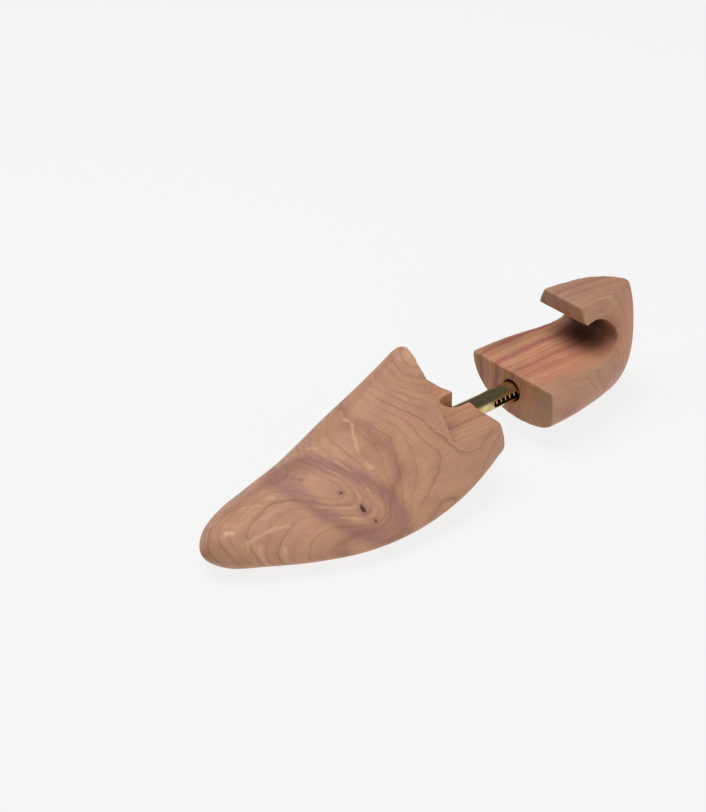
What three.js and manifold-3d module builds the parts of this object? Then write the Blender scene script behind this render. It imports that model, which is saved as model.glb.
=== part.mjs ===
// A cedar shoe tree for a left shoe, in millimetres.
//
// A last-shaped forepart carries a slotted brass tube on a cross pin. A heel
// block slides along the tube, and a coil spring inside the tube pushes it back.
//
// Design axes: -X points to the toe and +X to the heel, +Y is the inner (medial)
// side of the foot and -Y the outer (lateral) side, +Z is up. While modelling,
// x = 0 is the rear face of the forepart's tail and z = 0 is the sole. At the end
// the whole tree is shifted so that its box is centred on the Z axis.

import * as THREE from 'three';
import { mergeVertices } from 'three/addons/utils/BufferGeometryUtils.js';
import Module from 'manifold-3d';

const wasm = await Module();
wasm.setup();

// ---------------------------------------------------------------- dimensions

const gap = 0.3;             // room between touching pieces
const beyond = 3;            // how far a cutter runs past what it cuts
const farOut = 120;          // a place outside everything, for the largest cutters

// The mechanism lies on one axis, parallel to the sole.
const axisHeight = 26.5;
const blockGap = 37.1;       // clear length between the two wooden blocks at rest
const tubeRadius = 5.5;
const tubeWall = 0.8;
const boreRadius = 6.4;      // in both blocks, so the tube has room

// Forepart.
const tailHeight = 37.5;     // flat top of the tail behind the instep
const instepCut = { foot: -33, crown: -30.4, crownHeight: 76 };
const notch = { halfWidth: 6.1, depth: 12.6 };
const hingePin = { x: -10.7, radius: 2, medialEnd: 25, lateralEnd: -16 };
const tubeOverhang = 3.5;    // tube ahead of the hinge pin, which sets the tilt stop
const boreRoom = 3.5;        // bore ahead of the tube

// Heel block.
const heelBoreEnd = 103;
const tubeEnd = 68;          // rear end of the tube at rest
const guidePin = { x: 60, radius: 1.75, medialEnd: 22, lateralEnd: -19 };

// Tube slots, one on each side.
const slot = { front: 19.5, halfHeight: 2.15 };

// Spring and its two seats.
const springWire = 0.5;      // wire radius
const springPitch = 3.2;
const closedPitch = 1.2;     // at the end turns, which nearly touch
const seatThickness = 2;
const bossRadius = 2.8;
const bossLength = 3;

// Both blocks are cut from one kind of rounded form, like a shoe last. It starts
// at a tip and grows through stations. A station says where its section's outer,
// inner, top and bottom points lie (y, z), and how square its four quarters are,
// outer and inner above, then outer and inner below. A power of 2 is an ellipse,
// less is leaner and more is squarer.
function station(x, outer, inner, top, bottom, power) {
  return { x, outer, inner, top, bottom, power };
}

const forepartForm = {
  tip: new THREE.Vector3(-168.5, 0.5, 13),
  tipPower: [2, 2, 1.6, 1.6],
  tipSections: 8,
  sections: 36,
  stations: [
    station(-160, [-12, 10], [15, 10], [-1.5, 23.5], [2, 3.8], [1.95, 1.8, 1.6, 1.6]),
    station(-146, [-21.5, 10], [24.5, 10], [0, 27], [3, 1.5], [1.8, 1.65, 1.7, 1.7]),
    station(-124, [-33.5, 9.5], [34, 9.5], [3, 31], [3, -0.4], [1.6, 1.3, 1.9, 1.9]),
    station(-98, [-43, 9.5], [39.5, 9.5], [6, 39.5], [2, -1], [1.35, 1.3, 2.1, 2]),
    station(-70, [-46.5, 11], [39.5, 12], [8.5, 51.5], [0, -1], [1.22, 1.7, 2.1, 1.7]),
    station(-42, [-45, 14.5], [34, 17.5], [9.5, 68], [-2, 3.5], [1.18, 1.85, 2.1, 1.6]),
    station(-22, [-41, 18.5], [31.5, 23], [8.5, 80], [-2, 8], [1.4, 2, 2.1, 1.5]),
    station(0, [-34.5, 24.5], [31, 28.5], [8.5, 87], [-2, 11.5], [1.45, 2, 2.1, 1.5]),
  ],
};
const heelForm = {
  tip: new THREE.Vector3(129.3, 0.5, 40),
  tipPower: [2, 2, 2, 2],
  tipSections: 6,
  sections: 22,
  stations: [
    station(126, [-6.5, 32], [6.5, 34], [1, 63], [0.5, 15], [2, 2, 2, 2]),
    station(119, [-12, 28], [13, 30], [2, 72], [1, 4.5], [1.8, 2.2, 1.8, 1.9]),
    station(108, [-18.7, 26], [19.5, 27], [2, 78.5], [2, -1.6], [1.65, 2.1, 1.6, 1.7]),
    station(92, [-25.3, 25], [25.5, 26], [2, 83], [3, -2.4], [1.47, 1.7, 1.5, 1.7]),
    station(72, [-29.7, 24], [29.5, 28], [2, 84], [1, 3.2], [1.65, 1.65, 1.7, 1.8]),
    station(52, [-31.8, 22.5], [30.7, 34], [2, 84], [-4, 9], [1.8, 1.9, 2, 1.95]),
    station(34, [-32, 22], [31, 39], [2, 84], [-6, 11.5], [1.9, 1.9, 2.15, 2]),
  ],
};
const quarterSteps = 11;     // points in each quarter of a section

// Side view of the heel block's top: the flat base, the finger hollow behind it,
// and the hook that reaches forward over the hollow.
const baseTop = 38.3;
const hollow = { front: 80, rear: 99.3, rearHeight: 45.5, roof: 86, roofHeight: 58.2 };
const hook = { tip: 78, tipHeight: 57.8, front: 76, frontHeight: 68.4, rear: 130, rearHeight: 64.3 };
const hookCrown = 110;       // where the hook's top begins to fall away
const hookEase = 0.7;        // how much the hook's lip is broken at its tip
const hookFlat = { y: -11.2, height: 68.4, lean: 0.365, low: 50 };  // on its outer side

// ------------------------------------------------------------- solid helpers

function solidFrom(geometry) {
  const bare = geometry.clone();
  bare.deleteAttribute('normal');
  bare.deleteAttribute('uv');
  const merged = mergeVertices(bare, 1e-4);
  const triVerts = new Uint32Array(merged.index.array);
  const vertProperties = new Float32Array(merged.attributes.position.array);
  return new wasm.Manifold(new wasm.Mesh({ numProp: 3, vertProperties, triVerts }));
}

function geometryFrom(solid) {
  const mesh = solid.getMesh();
  const geometry = new THREE.BufferGeometry();
  geometry.setAttribute('position', new THREE.BufferAttribute(mesh.vertProperties, 3));
  geometry.setIndex(new THREE.BufferAttribute(mesh.triVerts, 1));
  return geometry;
}

// Skins a list of closed rings, all with the same number of points, and closes
// both ends. A ring that has shrunk to one point makes a pointed end.
function loft(rings) {
  const count = rings[0].length;
  const points = rings.flat();
  const faces = [];
  for (let ring = 0; ring < rings.length - 1; ring += 1) {
    for (let i = 0; i < count; i += 1) {
      const a = ring * count + i;
      const b = ring * count + ((i + 1) % count);
      faces.push(a, b, b + count, a, b + count, a + count);
    }
  }
  addCap(points, faces, 0, count, true);
  addCap(points, faces, (rings.length - 1) * count, count, false);
  const geometry = new THREE.BufferGeometry().setFromPoints(points);
  geometry.setIndex(faces);
  return outward(solidFrom(geometry), geometry);
}

function addCap(points, faces, first, count, reversed) {
  const centre = new THREE.Vector3();
  for (let i = 0; i < count; i += 1) {
    centre.addScaledVector(points[first + i], 1 / count);
  }
  points.push(centre);
  const middle = points.length - 1;
  for (let i = 0; i < count; i += 1) {
    const here = first + i;
    const next = first + ((i + 1) % count);
    if (reversed) {
      faces.push(middle, next, here);
    } else {
      faces.push(middle, here, next);
    }
  }
}

// Turns a solid the right way out if its rings ran the other way round.
function outward(solid, geometry) {
  if (solid.volume() > 0) {
    return solid;
  }
  const flipped = geometry.clone();
  flipped.setIndex(Array.from(geometry.index.array).reverse());
  return solidFrom(flipped);
}

// An outline in X and Z, pushed through along Y.
function prismAlongY(outline, lowY, highY) {
  const shape = new THREE.Shape(outline.map(([x, z]) => new THREE.Vector2(x, z)));
  const geometry = new THREE.ExtrudeGeometry(shape, { depth: highY - lowY, bevelEnabled: false });
  geometry.rotateX(Math.PI / 2);
  geometry.translate(0, highY, 0);
  return solidFrom(geometry);
}

// An outline in Y and Z, pushed through along X.
function prismAlongX(outline, x0, x1) {
  const shape = new THREE.Shape(outline.map(([y, z]) => new THREE.Vector2(y, z)));
  const geometry = new THREE.ExtrudeGeometry(shape, { depth: x1 - x0, bevelEnabled: false });
  const turn = new THREE.Matrix4().makeBasis(
    new THREE.Vector3(0, 1, 0),
    new THREE.Vector3(0, 0, 1),
    new THREE.Vector3(1, 0, 0),
  );
  geometry.applyMatrix4(turn);
  geometry.translate(x0, 0, 0);
  return solidFrom(geometry);
}

function rodAlongX(radius, x0, x1, sides = 32) {
  const geometry = new THREE.CylinderGeometry(radius, radius, x1 - x0, sides);
  geometry.rotateZ(Math.PI / 2);
  geometry.translate((x0 + x1) / 2, 0, axisHeight);
  return solidFrom(geometry);
}

function rodAlongY(radius, x, y0, y1, sides = 24) {
  const geometry = new THREE.CylinderGeometry(radius, radius, y1 - y0, sides);
  geometry.translate(x, (y0 + y1) / 2, axisHeight);
  return solidFrom(geometry);
}

function rodAlongZ(radius, x, z0, z1, sides = 32) {
  const geometry = new THREE.CylinderGeometry(radius, radius, z1 - z0, sides);
  geometry.rotateX(Math.PI / 2);
  geometry.translate(x, 0, (z0 + z1) / 2);
  return solidFrom(geometry);
}

function block(x0, x1, y0, y1, z0, z1) {
  const geometry = new THREE.BoxGeometry(x1 - x0, y1 - y0, z1 - z0);
  geometry.translate((x0 + x1) / 2, (y0 + y1) / 2, (z0 + z1) / 2);
  return solidFrom(geometry);
}

// ------------------------------------------------------------- rounded form

// One quarter of a section, from its side point almost to its top or bottom.
function quarter(side, end, power) {
  const points = [];
  for (let i = 0; i < quarterSteps; i += 1) {
    const angle = (i / quarterSteps) * (Math.PI / 2);
    const across = Math.cos(angle) ** (2 / power);
    const along = Math.sin(angle) ** (2 / power);
    const x = side.x + (end.x - side.x) * Math.sin(angle) ** 2;
    const y = end.y + (side.y - end.y) * across;
    const z = side.z + (end.z - side.z) * along;
    points.push(new THREE.Vector3(x, y, z));
  }
  return points;
}

// The whole section: outer side, over the top to the inner side, and back below.
function section({ outer, inner, top, bottom }, power) {
  return [
    ...quarter(outer, top, power[0]),
    top,
    ...quarter(inner, top, power[1]).slice(1).reverse(),
    ...quarter(inner, bottom, power[3]),
    bottom,
    ...quarter(outer, bottom, power[2]).slice(1).reverse(),
  ];
}

// A smooth line that runs along one side of the form, round its tip and back
// along the other side, so that the tip is round.
function roundTheTip(form, oneSide, otherSide) {
  const onSide = (name) => form.stations.map((row) => new THREE.Vector3(row.x, ...row[name]));
  return new THREE.CatmullRomCurve3([...onSide(oneSide).reverse(), form.tip, ...onSide(otherSide)]);
}

// Where the sections lie, from 0 at the tip to 1, closer together at the tip.
function sectionPlaces(form) {
  const places = [];
  const firstStation = 1 / form.stations.length;
  for (let i = 0; i < form.tipSections; i += 1) {
    places.push(firstStation * (i / form.tipSections) ** 2);
  }
  for (let i = 0; i <= form.sections; i += 1) {
    places.push(firstStation + ((1 - firstStation) * i) / form.sections);
  }
  return places;
}

function powerAt(form, place) {
  const all = [form.tipPower, ...form.stations.map((row) => row.power)];
  const position = place * (all.length - 1);
  const low = Math.min(Math.floor(position), all.length - 2);
  return all[low].map((value, i) => THREE.MathUtils.lerp(value, all[low + 1][i], position - low));
}

function roundedForm(form) {
  const plan = roundTheTip(form, 'outer', 'inner');
  const profile = roundTheTip(form, 'top', 'bottom');
  const rings = sectionPlaces(form).map((place) => {
    const points = {
      outer: plan.getPoint((1 - place) / 2),
      inner: plan.getPoint((1 + place) / 2),
      top: profile.getPoint((1 - place) / 2),
      bottom: profile.getPoint((1 + place) / 2),
    };
    return section(points, powerAt(form, place));
  });
  return loft(rings);
}

// ----------------------------------------------------------------- forepart

// Everything behind the instep's rear face and above the tail.
function instepCutter() {
  const lean = (instepCut.crown - instepCut.foot) / (instepCut.crownHeight - tailHeight);
  return prismAlongY([
    [instepCut.foot, tailHeight],
    [beyond, tailHeight],
    [beyond, farOut],
    [instepCut.foot + lean * (farOut - tailHeight), farOut],
  ], -farOut, farOut);
}

// The open-ended notch in the tail, with a round inner end, over the tube bore.
function notchCutter() {
  const centre = notch.halfWidth - notch.depth;
  const open = block(centre, beyond, -notch.halfWidth, notch.halfWidth, axisHeight, tailHeight + beyond);
  return open.add(rodAlongZ(notch.halfWidth, centre, axisHeight, tailHeight + beyond));
}

function makeForepart() {
  const boreFront = hingePin.x - tubeOverhang - boreRoom;
  const aboveFloor = block(-2 * farOut, farOut, -farOut, farOut, 0, farOut);
  const pinHole = rodAlongY(hingePin.radius + gap, hingePin.x, hingePin.lateralEnd - gap, farOut);
  return roundedForm(forepartForm)
    .intersect(aboveFloor)
    .subtract(instepCutter())
    .subtract(rodAlongX(boreRadius, boreFront, beyond))
    .subtract(notchCutter())
    .subtract(pinHole);
}

// --------------------------------------------------------------- heel block

// The block's outline seen from the side. The curves swing round the hollow,
// from the base up its rear wall and forward along its roof to the hook's lip.
function heelSideOutline() {
  const path = new THREE.Path();
  const { front, rear, rearHeight, roof, roofHeight } = hollow;
  path.moveTo(blockGap, -beyond);
  path.lineTo(blockGap, baseTop);
  path.lineTo(front, baseTop);
  path.bezierCurveTo(front + 12, baseTop, rear, rearHeight - 5, rear, rearHeight);
  path.bezierCurveTo(rear, rearHeight + 5.5, roof + 7.5, roofHeight, roof, roofHeight);
  path.quadraticCurveTo(roof - 3.5, roofHeight, hook.tip + hookEase, hook.tipHeight - hookEase);
  path.lineTo(hook.tip - hookEase, hook.tipHeight + hookEase);
  path.lineTo(hook.front, hook.frontHeight);
  path.quadraticCurveTo(hookCrown, hook.frontHeight - hookEase, hook.rear, hook.rearHeight - hookEase);
  path.lineTo(hook.rear, -beyond);
  return path.getPoints(8).map((point) => [point.x, point.y]);
}

// Everything beyond the flat on the hook's outer side.
function hookFlatCutter() {
  const flatAt = (z) => hookFlat.y - hookFlat.lean * (hookFlat.height - z);
  return prismAlongX([
    [flatAt(hookFlat.low), hookFlat.low],
    [flatAt(farOut), farOut],
    [-farOut, farOut],
    [-farOut, hookFlat.low],
  ], hook.front - beyond, hook.rear);
}

function makeHeelBlock() {
  const side = prismAlongY(heelSideOutline(), -farOut, farOut);
  const aboveFloor = block(0, 2 * farOut, -farOut, farOut, 0, farOut);
  const pinHole = rodAlongY(guidePin.radius + gap, guidePin.x, guidePin.lateralEnd - gap, farOut);
  return roundedForm(heelForm)
    .intersect(side)
    .intersect(aboveFloor)
    .subtract(hookFlatCutter())
    .subtract(rodAlongX(boreRadius, 0, heelBoreEnd))
    .subtract(pinHole);
}

// ---------------------------------------------------------------- mechanism

// A slot through both sides of the tube, with round ends.
function slotCutter() {
  const reach = tubeRadius + beyond;
  const frontCentre = slot.front + slot.halfHeight;
  const low = axisHeight - slot.halfHeight;
  const high = axisHeight + slot.halfHeight;
  return block(frontCentre, guidePin.x, -reach, reach, low, high)
    .add(rodAlongY(slot.halfHeight, frontCentre, -reach, reach))
    .add(rodAlongY(slot.halfHeight, guidePin.x, -reach, reach));
}

function makeTube() {
  const front = hingePin.x - tubeOverhang;
  const reach = tubeRadius + beyond;
  return rodAlongX(tubeRadius, front, tubeEnd)
    .subtract(rodAlongX(tubeRadius - tubeWall, front - beyond, tubeEnd + beyond))
    .subtract(rodAlongY(hingePin.radius + gap, hingePin.x, -reach, reach))
    .subtract(slotCutter());
}

// A cross pin with its ends slightly broken.
function makePin(pin) {
  const length = pin.medialEnd - pin.lateralEnd;
  const chamfer = 0.4;
  const profile = [
    new THREE.Vector2(0, 0),
    new THREE.Vector2(pin.radius - chamfer, 0),
    new THREE.Vector2(pin.radius, chamfer),
    new THREE.Vector2(pin.radius, length - chamfer),
    new THREE.Vector2(pin.radius - chamfer, length),
    new THREE.Vector2(0, length),
  ];
  const geometry = new THREE.LatheGeometry(profile, 24);
  geometry.translate(pin.x, pin.lateralEnd, axisHeight);
  return solidFrom(geometry);
}

// A round seat with a boss that centres the spring. `toHeel` is 1 when the boss
// points to the heel and -1 when it points to the toe.
function makeSeat(face, toHeel) {
  const plateBack = face - toHeel * seatThickness;
  const bossRoot = face - (toHeel * seatThickness) / 2;
  const bossTip = face + toHeel * bossLength;
  const plate = rodAlongX(tubeRadius - tubeWall - gap, ...ordered(face, plateBack));
  return plate.add(rodAlongX(bossRadius, ...ordered(bossRoot, bossTip)));
}

function ordered(a, b) {
  return a < b ? [a, b] : [b, a];
}

const frontSeatFace = hingePin.x + hingePin.radius + gap + seatThickness;
const rearSeatFace = guidePin.x - guidePin.radius - gap - seatThickness;

// A helix of round wire between the two seats, its end turns lying flat.
function makeSpring() {
  const start = frontSeatFace + gap + springWire;
  const end = rearSeatFace - gap - springWire;
  const coilRadius = tubeRadius - tubeWall - gap - springWire;
  const stepsPerTurn = 12;
  const wireSides = 6;
  const openTurns = (end - start - 2 * closedPitch) / springPitch;
  const turns = openTurns + 2;
  const steps = Math.round(turns * stepsPerTurn);
  const rings = [];
  for (let i = 0; i <= steps; i += 1) {
    const turn = (turns * i) / steps;
    const opened = THREE.MathUtils.clamp(turn - 1, 0, openTurns);
    const closed = turn - opened;
    const x = start + closed * closedPitch + opened * springPitch;
    rings.push(wireRing(x, turn * 2 * Math.PI, coilRadius, wireSides));
  }
  return loft(rings);
}

function wireRing(x, angle, coilRadius, sides) {
  const ring = [];
  for (let i = 0; i < sides; i += 1) {
    const around = (i / sides) * 2 * Math.PI;
    const radius = coilRadius + springWire * Math.cos(around);
    const along = x + springWire * Math.sin(around);
    const y = radius * Math.cos(angle);
    const z = axisHeight + radius * Math.sin(angle);
    ring.push(new THREE.Vector3(along, y, z));
  }
  return ring;
}

// ----------------------------------------------------------------- assembly

const cedar = new THREE.MeshStandardMaterial({ color: 0xbe8c73, roughness: 0.62, metalness: 0 });
const cedarHeel = new THREE.MeshStandardMaterial({ color: 0xb9806a, roughness: 0.62, metalness: 0 });
const brass = new THREE.MeshStandardMaterial({ color: 0xc2b280, roughness: 0.25, metalness: 1 });
const springSteel = new THREE.MeshStandardMaterial({ color: 0xc9b071, roughness: 0.3, metalness: 1 });
const pinSteel = new THREE.MeshStandardMaterial({ color: 0x9a9a98, roughness: 0.35, metalness: 1 });

const tree = new THREE.Group();

function add(name, solid, material) {
  const mesh = new THREE.Mesh(geometryFrom(solid), material);
  mesh.name = name;
  tree.add(mesh);
}

add('forepart', makeForepart(), cedar);
add('heel_block', makeHeelBlock(), cedarHeel);
add('tube', makeTube(), brass);
add('hinge_pin', makePin(hingePin), pinSteel);
add('guide_pin', makePin(guidePin), pinSteel);
add('spring_seat', makeSeat(frontSeatFace, 1), brass);
add('spring_follower', makeSeat(rearSeatFace, -1), brass);
add('spring', makeSpring(), springSteel);

// The frame's origin is the middle of the underside of the whole tree's box.
const extent = new THREE.Box3().setFromObject(tree);
const middle = extent.getCenter(new THREE.Vector3());
tree.position.set(-middle.x, -middle.y, -extent.min.z);

export default tree;
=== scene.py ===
"""The looks of a cedar shoe tree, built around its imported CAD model.

The two wooden blocks are the CAD shapes with sanded edges, and their grain is a
solid pattern of growth rings, so that every cut face shows what a saw would show.
The brass tube, the spring, its seats and the pins are rebuilt in fine detail.
Lengths are in metres unless a name ends in _mm.
"""

import math

import bmesh
import bpy
import numpy as np
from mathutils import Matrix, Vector
from mathutils.kdtree import KDTree


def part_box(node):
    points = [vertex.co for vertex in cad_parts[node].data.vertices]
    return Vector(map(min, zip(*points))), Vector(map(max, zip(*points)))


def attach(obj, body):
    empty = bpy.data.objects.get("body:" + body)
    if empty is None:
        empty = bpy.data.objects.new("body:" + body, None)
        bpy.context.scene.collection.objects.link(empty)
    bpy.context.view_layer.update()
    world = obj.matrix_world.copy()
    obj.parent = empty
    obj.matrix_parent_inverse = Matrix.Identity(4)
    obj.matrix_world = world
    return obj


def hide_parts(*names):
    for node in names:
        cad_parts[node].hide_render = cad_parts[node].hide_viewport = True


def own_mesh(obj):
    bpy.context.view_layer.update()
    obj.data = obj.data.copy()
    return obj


MM = 0.001

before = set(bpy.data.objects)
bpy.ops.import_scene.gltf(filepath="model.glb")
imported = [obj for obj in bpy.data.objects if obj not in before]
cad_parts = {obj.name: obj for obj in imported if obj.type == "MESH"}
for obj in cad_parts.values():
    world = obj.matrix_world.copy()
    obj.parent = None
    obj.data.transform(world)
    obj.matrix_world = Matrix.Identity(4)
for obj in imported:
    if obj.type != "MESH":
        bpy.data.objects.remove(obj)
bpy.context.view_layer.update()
scene = bpy.context.scene


# ---------------------------------------------------------------- the frame


def box_middle(node):
    low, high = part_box(node)
    return (low + high) / 2


TUBE_LOW, TUBE_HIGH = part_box("tube")
AXIS = box_middle("tube")
TUBE_RADIUS = (TUBE_HIGH.z - TUBE_LOW.z) / 2
TAIL_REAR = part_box("forepart")[1].x
BORE_RADIUS_MM = 6.4


def design_point(x_mm, y_mm, z_mm):
    """A point measured from the tail's rear face, the tube's axis and the sole."""
    return Vector((TAIL_REAR + x_mm * MM, AXIS.y + y_mm * MM, z_mm * MM))


# ------------------------------------------------- camera, light and surroundings


def make_camera():
    camera = bpy.data.objects.new("camera", bpy.data.cameras.new("camera"))
    scene.collection.objects.link(camera)
    camera.location = design_point(-569.1, -588.4, 537.6)
    target = design_point(-10.8, 75.4, 0)
    camera.rotation_mode = "QUATERNION"
    camera.rotation_quaternion = (target - camera.location).to_track_quat("-Z", "Y")
    camera.data.lens = 80.8
    camera.data.clip_end = 50
    scene.camera = camera


def make_light(name, place, aim, size, power, tint=(1, 1, 1)):
    light = bpy.data.lights.new(name, "AREA")
    light.shape = "RECTANGLE"
    light.size, light.size_y = size
    light.energy = power
    light.color = tint
    holder = bpy.data.objects.new(name, light)
    scene.collection.objects.link(holder)
    holder.location = place
    holder.rotation_euler = (Vector(aim) - Vector(place)).to_track_quat("-Z", "Y").to_euler()


def make_world():
    world = bpy.data.worlds.new("studio")
    scene.world = world
    world.use_nodes = True
    graph = Graph(world.node_tree)
    direction = graph.node("ShaderNodeTexCoord").outputs["Generated"]
    height = graph.remap(graph.split(direction)[2], -1.0, 1.0, smooth=False)
    shades = [(0.0, 0.5), (0.5, 0.9), (0.56, 0.6), (0.63, 0.14), (0.9, 0.12), (1.0, 0.3)]
    shade = graph.ramp(height, shades)
    background = graph.node("ShaderNodeBackground")
    graph.link(shade, background.inputs["Color"])
    background.inputs["Strength"].default_value = 0.75
    output = graph.node("ShaderNodeOutputWorld")
    graph.link(background.outputs[0], output.inputs["Surface"])


def make_floor():
    """A pale sheet that glows a little, so that it stays even and its shadows stay faint."""
    reach = 4.0
    corners = [(-reach, -reach, 0), (reach, -reach, 0), (reach, reach, 0), (-reach, reach, 0)]
    mesh = bpy.data.meshes.new("floor")
    mesh.from_pydata(corners, [], [(0, 1, 2, 3)])
    floor = bpy.data.objects.new("floor", mesh)
    scene.collection.objects.link(floor)
    floor.location.z = -0.0002
    material, graph, shader = shaded("pale_floor")
    shader["Base Color"].default_value = (0.12, 0.12, 0.12, 1)
    shader["Roughness"].default_value = 1.0
    shader["Specular IOR Level"].default_value = 0.0
    shader["Emission Color"].default_value = (1, 1, 1, 1)
    shader["Emission Strength"].default_value = 0.82
    mesh.materials.append(material)


def light_the_scene():
    scene.view_settings.view_transform = "Standard"
    scene.view_settings.look = "None"
    make_world()
    make_light("overhead", (-0.3, 0.25, 1.5), (0, 0, 0), (1.2, 1.3), 19)
    make_light("side", (0.0, -1.3, 0.6), (0, 0, 0.03), (0.8, 0.6), 4)


# ------------------------------------------------------------ shader node helper


class Graph:
    """Builds a node tree in a few words. Every value is a number or a socket."""

    def __init__(self, tree):
        self.tree = tree
        tree.nodes.clear()

    def node(self, kind, **settings):
        made = self.tree.nodes.new(kind)
        for name, value in settings.items():
            setattr(made, name, value)
        return made

    def link(self, source, target):
        self.tree.links.new(source, target)

    def feed(self, value, socket):
        if isinstance(value, bpy.types.NodeSocket):
            self.link(value, socket)
        elif isinstance(value, (tuple, list)) and socket.type == "RGBA":
            socket.default_value = (*value[:3], 1)
        else:
            socket.default_value = value

    def math(self, operation, *values, clamp=False):
        made = self.node("ShaderNodeMath", operation=operation, use_clamp=clamp)
        for value, socket in zip(values, made.inputs):
            self.feed(value, socket)
        return made.outputs[0]

    def vector(self, operation, *values):
        made = self.node("ShaderNodeVectorMath", operation=operation)
        for value, socket in zip(values, made.inputs):
            self.feed(value, socket)
        return made.outputs["Value" if operation in ("LENGTH", "DOT_PRODUCT") else "Vector"]

    def scaled(self, vector, factor):
        made = self.node("ShaderNodeVectorMath", operation="SCALE")
        self.feed(vector, made.inputs[0])
        self.feed(factor, made.inputs["Scale"])
        return made.outputs["Vector"]

    def split(self, vector):
        made = self.node("ShaderNodeSeparateXYZ")
        self.feed(vector, made.inputs[0])
        return made.outputs

    def join(self, x, y, z):
        made = self.node("ShaderNodeCombineXYZ")
        for value, socket in zip((x, y, z), made.inputs):
            self.feed(value, socket)
        return made.outputs[0]

    def noise(self, vector, scale=1.0, detail=2.0, roughness=0.5, distortion=0.0, colour=False):
        made = self.node("ShaderNodeTexNoise", noise_dimensions="3D")
        self.feed(vector, made.inputs["Vector"])
        made.inputs["Scale"].default_value = scale
        made.inputs["Detail"].default_value = detail
        made.inputs["Roughness"].default_value = roughness
        made.inputs["Distortion"].default_value = distortion
        return made.outputs["Color" if colour else "Fac"]

    def noise_along(self, value, scale=1.0, detail=2.0):
        made = self.node("ShaderNodeTexNoise", noise_dimensions="1D")
        self.feed(value, made.inputs["W"])
        made.inputs["Scale"].default_value = scale
        made.inputs["Detail"].default_value = detail
        return made.outputs["Fac"]

    def random(self, value):
        made = self.node("ShaderNodeTexWhiteNoise", noise_dimensions="1D")
        self.feed(value, made.inputs["W"])
        return made.outputs["Value"]

    def ramp(self, value, stops, interpolation="LINEAR"):
        made = self.node("ShaderNodeValToRGB")
        self.feed(value, made.inputs[0])
        made.color_ramp.interpolation = interpolation
        elements = made.color_ramp.elements
        while len(elements) < len(stops):
            elements.new(0.5)
        for element, (position, colour) in zip(elements, stops):
            element.position = position
            grey = (colour,) * 3 if isinstance(colour, (int, float)) else colour
            element.color = (*grey, 1)
        return made.outputs["Color"]

    def mix(self, factor, a, b, blend="MIX"):
        made = self.node("ShaderNodeMix", data_type="RGBA", blend_type=blend)
        self.feed(factor, made.inputs[0])
        self.feed(a, made.inputs[6])
        self.feed(b, made.inputs[7])
        return made.outputs[2]

    def remap(self, value, low, high, to_low=0.0, to_high=1.0, smooth=True):
        kind = "SMOOTHSTEP" if smooth else "LINEAR"
        made = self.node("ShaderNodeMapRange", interpolation_type=kind)
        for number, socket in zip((value, low, high, to_low, to_high), made.inputs):
            self.feed(number, socket)
        return made.outputs[0]

    def bump(self, height, distance_mm, normal=None):
        made = self.node("ShaderNodeBump")
        self.feed(height, made.inputs["Height"])
        made.inputs["Distance"].default_value = distance_mm * MM
        if normal is not None:
            self.link(normal, made.inputs["Normal"])
        return made.outputs[0]


def new_material(name):
    material = bpy.data.materials.new(name)
    material.use_nodes = True
    return material


def shaded(name):
    """A material with an empty graph and a Principled shader joined to its output."""
    material = new_material(name)
    graph = Graph(material.node_tree)
    shader = graph.node("ShaderNodeBsdfPrincipled")
    output = graph.node("ShaderNodeOutputMaterial")
    graph.link(shader.outputs[0], output.inputs["Surface"])
    return material, graph, shader.inputs


def srgb(red, green, blue):
    """A screen colour, 0 to 255 each, as the linear colour that a shader reads."""
    def linear(value):
        share = value / 255
        return share / 12.92 if share <= 0.04045 else ((share + 0.055) / 1.055) ** 2.4
    return tuple(linear(value) for value in (red, green, blue))


# ----------------------------------------------------------------------- cedar


def place_in_mm(graph):
    """Where a point is, in millimetres, measured as design_point measures."""
    place = graph.node("ShaderNodeTexCoord").outputs["Object"]
    origin = design_point(0, 0, 0)
    return graph.scaled(graph.vector("SUBTRACT", place, tuple(origin)), 1 / MM)


def swell(graph, place, centre, axis, along, across):
    """1 at a centre, fading to 0 over a long rounded region that points along an axis."""
    length = math.sqrt(sum(part * part for part in axis))
    unit = tuple(part / length for part in axis)
    offset = graph.vector("SUBTRACT", place, centre)
    run = graph.vector("DOT_PRODUCT", offset, unit)
    run_squared = graph.math("MULTIPLY", run, run)
    all_squared = graph.vector("DOT_PRODUCT", offset, offset)
    side_squared = graph.math("SUBTRACT", all_squared, run_squared)
    total = graph.math(
        "ADD",
        graph.math("DIVIDE", run_squared, along**2),
        graph.math("DIVIDE", side_squared, across**2),
    )
    return graph.math("EXPONENT", graph.math("MULTIPLY", total, -1.0))


def centred_noise(graph, place, scale, size):
    """A wandering offset, up to about half of size each way."""
    noise = graph.noise(graph.vector("MULTIPLY", place, scale), 1.0, 1.5, 0.5, 0.0, True)
    return graph.scaled(graph.vector("SUBTRACT", noise, (0.5, 0.5, 0.5)), size)


def ring_distance(graph, place, wood, swells):
    """Distance from the pith, with slow wander, and pushed in or out at the swells."""
    wander = centred_noise(graph, place, (0.012, 0.024, 0.024), wood["wander"])
    ripple = centred_noise(graph, place, (0.07, 0.13, 0.13), wood["ripple"])
    moved = graph.vector("ADD", graph.vector("ADD", place, wander), ripple)
    across_pith = graph.vector("SUBTRACT", moved, (0.0, *wood["pith"]))
    distance = graph.vector("LENGTH", graph.vector("MULTIPLY", across_pith, (0.0, 1.0, 1.0)))
    for share, height in swells:
        distance = graph.math("MULTIPLY_ADD", share, height, distance)
    return distance


def knot_mask(graph, ragged, centre, radius_mm, stretch):
    """1 in a small knot and 0 outside it, with a ragged edge."""
    offset = graph.vector("DIVIDE", graph.vector("SUBTRACT", ragged, centre), stretch)
    return graph.remap(graph.vector("LENGTH", offset), radius_mm, radius_mm * 0.35)


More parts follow.
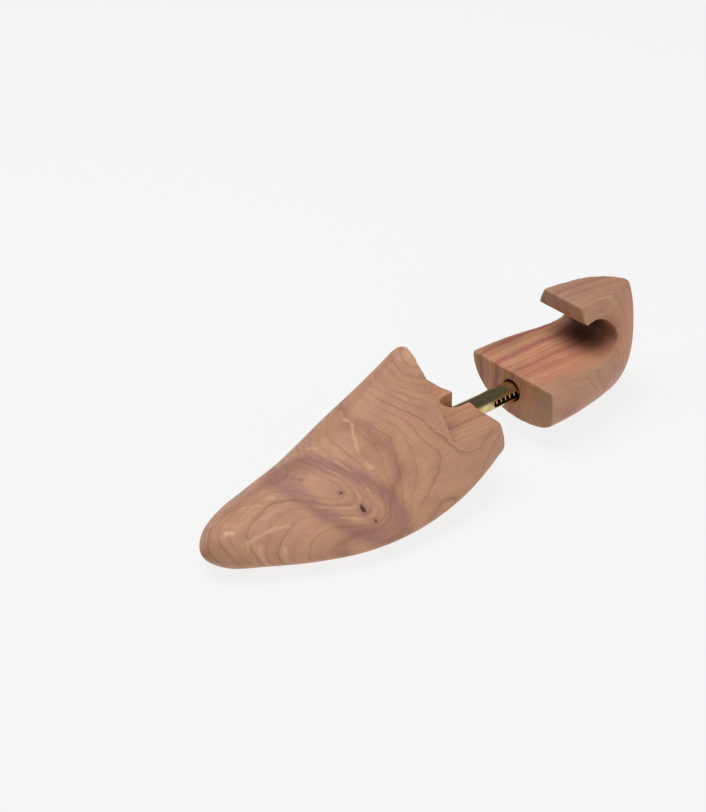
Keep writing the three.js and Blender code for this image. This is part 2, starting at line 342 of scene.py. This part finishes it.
def stroke_mask(graph, ragged, points, half_width):
    """Up to 1 along a run of straight strokes, and 0 away from it, fainter here and there."""
    nearest = None
    for start, end in zip(points, points[1:]):
        course = Vector(end) - Vector(start)
        offset = graph.vector("SUBTRACT", ragged, start)
        run = graph.vector("DOT_PRODUCT", offset, tuple(course))
        share = graph.math("DIVIDE", run, course.length_squared, clamp=True)
        away = graph.vector("SUBTRACT", offset, graph.scaled(tuple(course), share))
        distance = graph.vector("LENGTH", away)
        nearest = distance if nearest is None else graph.math("MINIMUM", nearest, distance)
    broken = graph.remap(graph.noise(ragged, 0.12, 2.0), 0.3, 0.5, 0.4, 1.0)
    return graph.math("MULTIPLY", graph.remap(nearest, half_width * 1.5, 0.0), broken)


def painted_bore_shade_mask(graph, place, wood):
    """Near 1 on the wall of the drilled bore, and 0 elsewhere: painted shade that darkens the bore's
    wall.
    """
    middle = (wood["bore_middle"], 0.0, AXIS.z / MM)
    offset = graph.vector("SUBTRACT", place, middle)
    from_axis = graph.vector("LENGTH", graph.vector("MULTIPLY", offset, (0.0, 1.0, 1.0)))
    wall = graph.remap(from_axis, BORE_RADIUS_MM + 0.5, BORE_RADIUS_MM - 0.1, 0.0, 0.88)
    along = graph.math("ABSOLUTE", graph.split(offset)[0])
    return graph.math("MULTIPLY", wall, graph.math("LESS_THAN", along, wood["bore_half_length"]))


def cedar(name, wood):
    """Red cedar as a solid pattern: rings, coloured bands, pale streaks, fibres and knots."""
    material, graph, shader = shaded(name)
    place = place_in_mm(graph)
    ragged = graph.vector("ADD", place, centred_noise(graph, place, (0.35, 0.5, 0.5), 1.2))
    curved = graph.vector("ADD", ragged, centred_noise(graph, place, (0.09, 0.09, 0.09), 6.0))
    swells = [(swell(graph, place, *shape), height) for *shape, height in wood["swells"]]
    distance = ring_distance(graph, place, wood, swells)

    spacing = graph.math("MULTIPLY", graph.noise_along(distance, 0.07, 1.0), wood["uneven"])
    phase = graph.math("ADD", graph.math("DIVIDE", distance, wood["ring_mm"]), spacing)
    part = graph.math("FRACT", phase)
    ring = graph.math("FLOOR", phase)
    own = graph.random(ring)
    patchy = graph.noise(graph.vector("MULTIPLY", place, (0.03, 0.06, 0.06)), 1.0, 1.0)
    line = graph.ramp(part, [(0.0, 0.0), (0.6, 0.05), (0.84, 0.35), (0.93, 1.0), (1.0, 0.0)])
    strength = graph.math(
        "MULTIPLY", graph.remap(own, 0.0, 1.0, 0.3, 1.0), graph.remap(patchy, 0.3, 0.65, 0.4, 1.0)
    )
    line = graph.math("MULTIPLY", line, strength)

    drift = graph.noise(graph.vector("MULTIPLY", place, (0.016, 0.04, 0.04)), 1.0, 2.0)
    drift = graph.math("MULTIPLY", drift, 1.5)
    band_place = graph.math("MULTIPLY_ADD", distance, wood["band_rate"], drift)
    band = graph.noise_along(band_place, 1.0, 2.0)
    colour = graph.ramp(band, wood["bands"])
    from_heart = graph.vector("SUBTRACT", place, wood["heart"])
    from_heart = graph.vector("LENGTH", graph.vector("MULTIPLY", from_heart, wood["heart_shape"]))
    heart = graph.remap(from_heart, wood["heart_reach"] + 6.0, wood["heart_reach"] - 6.0)
    colour = graph.mix(heart, colour, graph.ramp(band, wood["heart_bands"]))
    for share, height in swells:
        if height < 0:
            rim = graph.ramp(share, [(0.12, 0.0), (0.3, 0.75), (0.5, 0.55), (0.68, 0.0), (0.8, 0.12)])
            rim = graph.math("MULTIPLY", rim, wood["rim_depth"])
            colour = graph.mix(rim, colour, wood["rim_colour"])
    colour = graph.mix(graph.math("MULTIPLY", line, wood["line_depth"]), colour, wood["line_colour"])

    chance = graph.random(graph.math("ADD", ring, 0.5))
    pale_ring = graph.math("GREATER_THAN", chance, wood["pale_share"])
    pale_part = graph.ramp(part, [(0.1, 0.0), (0.3, 1.0), (0.5, 1.0), (0.7, 0.0)])
    pale_patch = graph.noise(graph.vector("MULTIPLY", place, (0.045, 0.09, 0.09)), 1.0, 2.0)
    pale = graph.math("MULTIPLY", pale_ring, pale_part)
    pale = graph.math("MULTIPLY", pale, graph.remap(pale_patch, 0.48, 0.6, 0.0, 0.3))
    for points, half_width, depth in wood["strokes"]:
        stroke = graph.math("MULTIPLY", stroke_mask(graph, curved, points, half_width), depth)
        pale = graph.math("MAXIMUM", pale, stroke)
    colour = graph.mix(pale, colour, wood["pale_colour"])

    fibre = graph.noise(graph.vector("MULTIPLY", place, (0.05, 1.3, 1.3)), 1.0, 4.0, 0.65)
    fine = graph.noise(graph.vector("MULTIPLY", place, (0.25, 5.0, 5.0)), 1.0, 2.0, 0.6)
    cloud = graph.noise(graph.vector("MULTIPLY", place, (0.08, 0.12, 0.12)), 1.0, 3.0, 0.6)
    fine_tone = graph.remap(fine, 0.3, 0.7, -0.03, 0.03)
    tone = graph.math("ADD", graph.remap(fibre, 0.3, 0.7, 0.93, 1.05), fine_tone)
    tone = graph.math("MULTIPLY", tone, graph.remap(cloud, 0.3, 0.7, 0.94, 1.05))
    colour = graph.mix(1.0, colour, graph.join(tone, tone, tone), "MULTIPLY")

    for centre, radius_mm, stretch, depth in wood["knots"]:
        halo = knot_mask(graph, ragged, centre, radius_mm * 2.4, stretch)
        halo = graph.math("MULTIPLY", halo, depth * 0.45)
        colour = graph.mix(halo, colour, wood["rim_colour"])
        mask = graph.math("MULTIPLY", knot_mask(graph, ragged, centre, radius_mm, stretch), depth)
        colour = graph.mix(mask, colour, wood["knot_colour"])
    # painted shade: the wall of the bore is darkened, as shade deep in the bore leaves it
    colour = graph.mix(painted_bore_shade_mask(graph, place, wood), colour, wood["heartwood_and_shade_colour"])
    # dark patches, partly dark heartwood and partly painted shade where the hollow lies in shade
    for centre, width, depth, strength in wood["heartwood_and_shade_patches"]:
        heartwood_and_shade = graph.math("MULTIPLY", swell(graph, place, centre, (0, 1, 0), width, depth), strength)
        colour = graph.mix(graph.math("MINIMUM", heartwood_and_shade, 0.93), colour, wood["heartwood_and_shade_colour"])

    # painted shade: faces that stand upright are multiplied darker than faces that look up, as light
    # from above leaves them
    facing = graph.split(graph.node("ShaderNodeTexCoord").outputs["Normal"])
    upright = graph.math("SUBTRACT", 1.0, graph.math("ABSOLUTE", facing[2]), clamp=True)
    painted_side_shade_share = graph.math("MULTIPLY", upright, wood["painted_side_shade_depth"])
    colour = graph.mix(painted_side_shade_share, colour, wood["painted_side_shade"], "MULTIPLY")
    end_grain = graph.math("POWER", graph.math("ABSOLUTE", facing[0]), 4.0)
    colour = graph.mix(graph.math("MULTIPLY", end_grain, 0.85), colour, wood["end_tint"], "MULTIPLY")

    graph.link(colour, shader["Base Color"])
    rough = graph.remap(fibre, 0.25, 0.75, 0.5, 0.66)
    graph.link(graph.math("SUBTRACT", rough, graph.math("MULTIPLY", line, 0.08)), shader["Roughness"])
    shader["Specular IOR Level"].default_value = 0.35
    relief = graph.math("ADD", graph.math("MULTIPLY", fibre, 0.6), graph.math("MULTIPLY", fine, 0.3))
    relief = graph.math("ADD", relief, graph.math("MULTIPLY", line, 0.3))
    graph.link(graph.bump(relief, 0.1), shader["Normal"])
    return material


FOREPART_WOOD = {
    "pith": (16.0, -4.0),
    "wander": 7.0,
    "ripple": 1.5,
    "ring_mm": 2.5,
    "uneven": 1.2,
    "band_rate": 0.09,
    # centre, axis, reach along the axis, reach across it, and how far the rings move
    "swells": [
        ((-96.5, -22.5, 26.0), (0.45, -0.88, -0.16), 40.0, 13.5, -13.0),
        ((-36.0, 0.0, 66.0), (1.0, 0.0, 0.0), 13.0, 12.0, 4.0),
    ],
    # centre, radius, stretch along each axis, and how strongly it shows
    "knots": [
        ((-98.3, -19.5, 29.7), 1.3, (1.2, 1.0, 1.0), 0.7),
        ((-93.4, -30.4, 23.7), 2.0, (0.8, 2.1, 1.3), 0.95),
        ((-90.6, -37.0, 18.8), 1.2, (1.0, 1.2, 1.0), 0.75),
        ((-108.4, 22.9, 25.9), 2.0, (1.4, 1.0, 1.0), 0.4),
    ],
    # the stroke's corners, its half width, and how strongly it shows
    "strokes": [
        (
            ((-72.0, 3.0, 48.0), (-76.0, -3.0, 45.0), (-77.0, -10.0, 40.0), (-77.0, -19.0, 35.0)),
            1.1,
            0.6,
        ),
        (((-71.0, 14.0, 49.0), (-74.0, 7.0, 49.0), (-71.0, 3.0, 49.0)), 0.9, 0.5),
        (((-95.0, 10.0, 39.0), (-94.0, 5.0, 41.0), (-88.0, 5.0, 43.0)), 1.0, 0.5),
        (
            ((-153.0, -15.0, 18.0), (-152.0, -13.0, 21.0), (-143.0, -14.0, 23.0), (-130.0, -19.0, 23.0)),
            1.1,
            0.5,
        ),
        (((-158.0, 8.0, 22.0), (-146.0, 6.0, 26.0), (-135.0, -1.0, 29.0)), 0.9, 0.45),
        (((-130.0, 1.0, 30.0), (-127.0, -2.0, 30.0)), 1.3, 0.9),
        (((-157.0, -5.0, 24.0), (-154.0, -7.0, 24.0)), 1.6, 0.75),
    ],
    "heartwood_and_shade_patches": [],
    "bore_middle": -10.0,
    "bore_half_length": 12.0,
    "bands": [
        (0.25, srgb(172, 121, 102)),
        (0.38, srgb(192, 140, 113)),
        (0.50, srgb(202, 151, 121)),
        (0.62, srgb(194, 141, 117)),
        (0.78, srgb(208, 156, 124)),
    ],
    "heart": (-10.0, 0.0, 40.0),
    "heart_shape": (0.8, 0.8, 1.5),
    "heart_reach": 18.0,
    "heart_bands": [(0.3, srgb(190, 130, 104)), (0.5, srgb(210, 150, 116)), (0.7, srgb(196, 136, 108))],
    "rim_colour": srgb(146, 100, 96),
    "rim_depth": 0.8,
    "line_colour": srgb(128, 88, 70),
    "line_depth": 0.75,
    "pale_colour": srgb(228, 190, 152),
    "pale_share": 0.88,
    "knot_colour": srgb(58, 40, 38),
    # the colour of the painted shade in the bore
    "heartwood_and_shade_colour": srgb(100, 60, 56),
    # painted shade on upright faces, and how strongly it shows
    "painted_side_shade": srgb(238, 240, 238),
    "painted_side_shade_depth": 0.6,
    "end_tint": srgb(215, 212, 208),
}
HEEL_WOOD = {
    "pith": (98.0, 24.0),
    "wander": 8.0,
    "ripple": 1.2,
    "ring_mm": 2.2,
    "uneven": 1.4,
    "band_rate": 0.16,
    "swells": [((54.0, -32.0, 22.0), (1.0, 0.0, 0.0), 17.0, 11.0, 6.0)],
    "knots": [],
    "strokes": [],
    "bore_middle": 70.0,
    "bore_half_length": 34.0,
    # dark patches, partly dark heartwood and partly painted shade in the heel's hollow: centre, reach
    # across the block, reach along and up, and strength
    "heartwood_and_shade_patches": [((91.0, 4.0, 48.0), 18.0, 10.0, 1.9), ((58.0, 25.0, 40.0), 7.0, 20.0, 0.35)],
    "bands": [
        (0.25, srgb(170, 122, 108)),
        (0.40, srgb(184, 138, 116)),
        (0.60, srgb(194, 148, 122)),
        (0.75, srgb(180, 132, 114)),
    ],
    "heart": (0.0, 4.0, 38.0),
    "heart_shape": (0.0, 1.0, 1.0),
    "heart_reach": 26.0,
    "heart_bands": [
        (0.25, srgb(182, 112, 100)),
        (0.36, srgb(196, 130, 104)),
        (0.50, srgb(212, 150, 114)),
        (0.62, srgb(200, 132, 108)),
        (0.75, srgb(214, 158, 122)),
    ],
    "rim_colour": srgb(146, 100, 96),
    "rim_depth": 0.0,
    "line_colour": srgb(132, 80, 70),
    "line_depth": 0.5,
    "pale_colour": srgb(222, 176, 138),
    "pale_share": 0.86,
    "knot_colour": srgb(58, 40, 38),
    # the colour of dark heartwood and of the painted shade in the bore and the hollow
    "heartwood_and_shade_colour": srgb(68, 31, 27),
    # painted shade on upright faces, and how strongly it shows
    "painted_side_shade": srgb(252, 246, 238),
    "painted_side_shade_depth": 0.7,
    "end_tint": srgb(204, 210, 196),
}


# ----------------------------------------------------------------- metal finishes


def polished_metal(name, colour, dark, roughness, brush_mm, bore_mm=0.0):
    """Drawn and polished metal, with faint lengthwise lines and handling marks.

    Closer to the tube's axis than bore_mm it is painted dark, as painted shade inside the tube.
    """
    material, graph, shader = shaded(name)
    place = place_in_mm(graph)
    lines = graph.noise(graph.vector("MULTIPLY", place, (0.04, brush_mm, brush_mm)), 1.0, 3.0, 0.6)
    smudge = graph.noise(graph.vector("MULTIPLY", place, (0.12, 0.25, 0.25)), 1.0, 3.0, 0.55)
    finish = graph.mix(graph.remap(smudge, 0.35, 0.75), colour, dark)
    if bore_mm:
        # painted shade: the tube's inner wall is darkened, as shade inside the tube leaves it
        from_axis = graph.vector("SUBTRACT", place, (0.0, 0.0, AXIS.z / MM))
        from_axis = graph.vector("LENGTH", graph.vector("MULTIPLY", from_axis, (0.0, 1.0, 1.0)))
        painted_inner_shade = graph.remap(from_axis, bore_mm + 0.1, bore_mm - 0.1)
        finish = graph.mix(painted_inner_shade, finish, srgb(48, 40, 24))
    graph.link(finish, shader["Base Color"])
    brushed = graph.remap(lines, 0.3, 0.7, 0.0, 0.06)
    wear = graph.math("ADD", graph.remap(smudge, 0.3, 0.8, 0.0, 0.14), brushed)
    graph.link(graph.math("ADD", wear, roughness), shader["Roughness"])
    shader["Metallic"].default_value = 1.0
    graph.link(graph.bump(lines, 0.01), shader["Normal"])
    return material


# ------------------------------------------------------------------- wooden blocks


def mesh_object(name, mesh, material, body, slot, *nodes):
    piece = bpy.data.objects.new(name, mesh)
    scene.collection.objects.link(piece)
    mesh.materials.clear()
    mesh.materials.append(material)
    for polygon in mesh.polygons:
        polygon.use_smooth = True
    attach(piece, body)
    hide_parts(*nodes)
    return piece


def remeshed(node, voxel):
    """The CAD node's mesh, made again from even little squares."""
    copy = bpy.data.objects.new("remesh_me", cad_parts[node].data.copy())
    scene.collection.objects.link(copy)
    modifier = copy.modifiers.new("remesh", "REMESH")
    modifier.mode = "VOXEL"
    modifier.voxel_size = voxel
    mesh = bpy.data.meshes.new_from_object(copy.evaluated_get(bpy.context.evaluated_depsgraph_get()))
    bpy.data.objects.remove(copy)
    return mesh


def sharp_edge_points(node, least_angle, step):
    """Points along the CAD node's sharp edges, a step apart."""
    shape = bmesh.new()
    shape.from_mesh(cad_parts[node].data)
    bmesh.ops.remove_doubles(shape, verts=shape.verts, dist=1e-6)
    points = []
    for edge in shape.edges:
        if len(edge.link_faces) == 2 and edge.calc_face_angle(0.0) > least_angle:
            start, end = (vertex.co.copy() for vertex in edge.verts)
            count = max(1, int((end - start).length / step))
            points += [start.lerp(end, i / count) for i in range(count + 1)]
    shape.free()
    return points


VOXEL = 0.7 * MM
FAIRING_ROUNDS = 40
SANDING_ROUNDS = 12
WORN_REACH = 10 * MM
TAIL_CORNERS = [design_point(-1, side, 37) for side in (-26, -20, 20, 26)]
LIP_CORNERS = [design_point(78, side, 66) for side in (-14, 21)]


def distances_to(points, others):
    tree = KDTree(len(others))
    for i, point in enumerate(others):
        tree.insert(point, i)
    tree.balance()
    return np.array([tree.find(point)[2] for point in points])


def relax(points, edges, weight, rounds):
    """Moves each point towards the average of its neighbours, by its own weight."""
    count = len(points)
    neighbours = np.bincount(edges.ravel(), minlength=count)[:, None]
    for _ in range(rounds):
        total = np.empty_like(points)
        for axis in range(3):
            values = points[:, axis]
            total[:, axis] = np.bincount(edges[:, 0], values[edges[:, 1]], count)
            total[:, axis] += np.bincount(edges[:, 1], values[edges[:, 0]], count)
        points += (total / neighbours - points) * weight[:, None]
    return points


def sanded_block(node, name, body, slot, wood, worn_places, worn_rounds):
    """A wooden block as a fine smooth mesh: faired all over, its edges eased by sanding.

    The edges of the bore and of the notch above it are cut after sanding, and stay crisper.
    The worn places are sanded rounder than the rest. The bore's wall stays as drilled,
    because fairing would close it in on the tube.
    """
    mesh = remeshed(node, VOXEL)
    points = np.empty(len(mesh.vertices) * 3)
    mesh.vertices.foreach_get("co", points)
    points = points.reshape(-1, 3)
    edges = np.empty(len(mesh.edges) * 2, np.int64)
    mesh.edges.foreach_get("vertices", edges)
    edges = edges.reshape(-1, 2)
    from_edge = distances_to(points, sharp_edge_points(node, math.radians(22), 1 * MM))
    from_axis = np.hypot(points[:, 1] - AXIS.y, points[:, 2] - AXIS.z)
    fairing = np.clip((from_edge - 2 * MM) / (5 * MM), 0, 1) * 0.5
    sanding = np.clip((from_axis - 12 * MM) / (4 * MM), 0.1, 1) * 0.5
    from_middle = np.abs((points[:, 0] - TAIL_REAR) / MM - wood["bore_middle"])
    drilled = (from_axis < (BORE_RADIUS_MM + 1.5) * MM) & (from_middle < wood["bore_half_length"])
    fairing[drilled] = 0
    sanding[drilled] = 0
    points = relax(points, edges, fairing, FAIRING_ROUNDS)
    points = relax(points, edges, sanding, SANDING_ROUNDS)
    worn = np.clip((WORN_REACH - distances_to(points, worn_places)) / (WORN_REACH / 2), 0, 1)
    points = relax(points, edges, worn * sanding, worn_rounds)
    mesh.vertices.foreach_set("co", points.ravel())
    mesh.update()
    return mesh_object(name, mesh, cedar(slot, wood), body, slot, node)


# ------------------------------------------------------------------------ mechanism


def skin(rings, closed_ends=False):
    """A mesh from rings of points, each joined to the next."""
    count = len(rings[0])
    vertices = [point for ring in rings for point in ring]
    faces = []
    for ring in range(len(rings) - 1):
        for i in range(count):
            a = ring * count + i
            b = ring * count + (i + 1) % count
            faces.append((a, b, b + count, a + count))
    if closed_ends:
        faces.append(tuple(reversed(range(count))))
        faces.append(tuple((len(rings) - 1) * count + i for i in range(count)))
    mesh = bpy.data.meshes.new("skin")
    mesh.from_pydata(vertices, [], faces)
    fix_normals(mesh)
    return mesh


def fix_normals(mesh, merge=1e-7):
    """Joins points that coincide and turns every face outwards."""
    shape = bmesh.new()
    shape.from_mesh(mesh)
    bmesh.ops.remove_doubles(shape, verts=shape.verts, dist=merge)
    bmesh.ops.recalc_face_normals(shape, faces=shape.faces)
    shape.to_mesh(mesh)
    shape.free()


def turned(middle, axis, profile, sides=64):
    """A turned solid. The profile is (along, radius) pairs from the middle, along X or Y."""
    rings = []
    for along, radius in profile:
        ring = []
        for i in range(sides):
            angle = 2 * math.pi * i / sides
            u, v = radius * math.cos(angle), radius * math.sin(angle)
            offset = (along, u, v) if axis == "X" else (u, along, v)
            ring.append(middle + Vector(offset))
        rings.append(ring)
    return skin(rings, closed_ends=True)


def domed_pin(node, name, material, body, slot):
    """A drawn pin with softly domed ends, as long and thick as its CAD node."""
    low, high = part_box(node)
    half = (high.y - low.y) / 2
    radius = (high.z - low.z) / 2
    dome = 0.35 * MM
    steps = 6
    end = []
    for i in range(steps + 1):
        angle = math.pi / 2 * i / steps
        end.append((half - dome + dome * math.sin(angle), radius * (0.72 + 0.28 * math.cos(angle))))
    profile = [(-along, size) for along, size in reversed(end)] + end
    return mesh_object(name, turned((low + high) / 2, "Y", profile), material, body, slot, node)


HINGE_HOLE = 2.3 * MM
HINGE_PLACE = box_middle("hinge_pin").x
SLOT_RADIUS = 2.15 * MM
SLOT_FRONT = design_point(19.5, 0, 0).x + SLOT_RADIUS
SLOT_REAR = box_middle("guide_pin").x


def slot_half_height(x):
    """Half the height of the tube's side opening at x: the hinge hole or the long slot."""
    if abs(x - HINGE_PLACE) < HINGE_HOLE:
        return math.sqrt(HINGE_HOLE**2 - (x - HINGE_PLACE) ** 2)
    past_end = max(SLOT_FRONT - x, x - SLOT_REAR, 0.0)
    return math.sqrt(max(SLOT_RADIUS**2 - past_end**2, 0.0))


def tube_stations():
    """Places along the tube, close together at the round ends of its openings."""
    places = {TUBE_LOW.x + (TUBE_HIGH.x - TUBE_LOW.x) * i / 40 for i in range(41)}
    steps = 12
    for i in range(steps + 1):
        share = math.cos(math.pi / 2 * i / steps)
        places |= {SLOT_FRONT - SLOT_RADIUS * share, SLOT_REAR + SLOT_RADIUS * share}
        places |= {HINGE_PLACE - HINGE_HOLE * share, HINGE_PLACE + HINGE_HOLE * share}
    ordered = sorted(places)
    kept = [ordered[0]]
    for place in ordered[1:]:
        if place - kept[-1] > 0.02 * MM:
            kept.append(place)
    return kept


def tube_piece(material):
    """A thin tube in two arcs, upper and lower, that meet wherever there is no side opening."""
    wall = 0.8 * MM
    steps = 40
    vertices, faces = [], []
    for half_turn in (0.0, math.pi):
        first = len(vertices)
        stations = tube_stations()
        for x in stations:
            lip = math.asin(slot_half_height(x) / TUBE_RADIUS)
            for i in range(steps + 1):
                angle = half_turn + lip + (math.pi - 2 * lip) * i / steps
                offset = Vector((0, math.cos(angle), math.sin(angle))) * TUBE_RADIUS
                vertices.append(Vector((x, AXIS.y, AXIS.z)) + offset)
        for row in range(len(stations) - 1):
            for i in range(steps):
                a = first + row * (steps + 1) + i
                faces.append((a, a + 1, a + steps + 2, a + steps + 1))
    mesh = bpy.data.meshes.new("tube")
    mesh.from_pydata(vertices, [], faces)
    fix_normals(mesh, merge=1e-6)
    piece = mesh_object("brass_tube", mesh, material, "stem", "brass_tube", "tube")
    thick = piece.modifiers.new("wall", "SOLIDIFY")
    thick.thickness = wall
    thick.offset = -1
    thick.use_even_offset = True
    eased = piece.modifiers.new("eased", "BEVEL")
    eased.width = 0.12 * MM
    eased.segments = 2
    eased.limit_method = "ANGLE"
    eased.angle_limit = math.radians(40)
    eased.harden_normals = False
    return piece


def spring_piece(material):
    """A helix of round wire between the seats, with its end turns closed."""
    low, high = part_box("spring")
    wire = 0.5 * MM
    pitch = 3.2 * MM
    closed_pitch = 1.2 * MM
    coil = (high.z - low.z) / 2 - wire
    start, end = low.x + wire, high.x - wire
    open_turns = (end - start - 2 * closed_pitch) / pitch
    turns = open_turns + 2
    steps = int(turns * 36)
    sides = 12
    rings = []
    for step in range(steps + 1):
        turn = turns * step / steps
        opened = min(max(turn - 1, 0), open_turns)
        x = start + (turn - opened) * closed_pitch + opened * pitch
        angle = 2 * math.pi * turn
        outward = Vector((0, math.cos(angle), math.sin(angle)))
        ring = []
        for i in range(sides):
            around = 2 * math.pi * i / sides
            reach = coil + wire * math.cos(around)
            ring.append(Vector((x + wire * math.sin(around), AXIS.y, AXIS.z)) + outward * reach)
        rings.append(ring)
    piece = mesh_object("coil_spring", skin(rings, True), material, "stem", "spring_wire", "spring")
    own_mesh(piece)
    return piece


def seat_piece(node, name, boss_sign, material, body):
    """A turned seat: a plate with a broken rim, and a boss that centres the spring."""
    low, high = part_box(node)
    middle = (low + high) / 2
    half = (high.x - low.x) / 2
    radius = (high.z - low.z) / 2
    plate = 2.0 * MM
    boss = 2.8 * MM
    ease = 0.25 * MM
    profile = [
        (-half, radius - ease),
        (-half + ease, radius),
        (-half + plate - ease, radius),
        (-half + plate, radius - ease),
        (-half + plate, boss + ease),
        (-half + plate + ease, boss),
        (half - 2 * ease, boss),
        (half, boss - 2 * ease),
    ]
    profile = [(boss_sign * along, size) for along, size in profile]
    return mesh_object(name, turned(middle, "X", profile), material, body, "seat_brass", node)


# ------------------------------------------------------------------------- the tree


make_camera()
light_the_scene()
make_floor()

sanded_block("forepart", "forepart_wood", "forepart", "cedar_forepart", FOREPART_WOOD, TAIL_CORNERS, 36)
sanded_block("heel_block", "heel_block_wood", "heel", "cedar_heel", HEEL_WOOD, LIP_CORNERS, 16)

plated_brass = polished_metal("plated_brass", srgb(222, 208, 158), srgb(190, 172, 112), 0.12, 3.0, 5.1)
spring_brass = polished_metal("spring_brass", srgb(226, 190, 116), srgb(180, 140, 70), 0.2, 2.0)
turned_brass = polished_metal("turned_brass", srgb(205, 178, 112), srgb(160, 132, 76), 0.25, 2.0)
drawn_steel = polished_metal("drawn_steel", srgb(188, 186, 180), srgb(128, 124, 118), 0.28, 4.0)

tube_piece(plated_brass)
spring_piece(spring_brass)
seat_piece("spring_seat", "front_spring_seat", 1, turned_brass, "stem")
seat_piece("spring_follower", "rear_spring_follower", -1, turned_brass, "heel")
domed_pin("hinge_pin", "hinge_cross_pin", drawn_steel, "forepart", "pin_steel")
domed_pin("guide_pin", "guide_cross_pin", drawn_steel, "heel", "pin_steel")
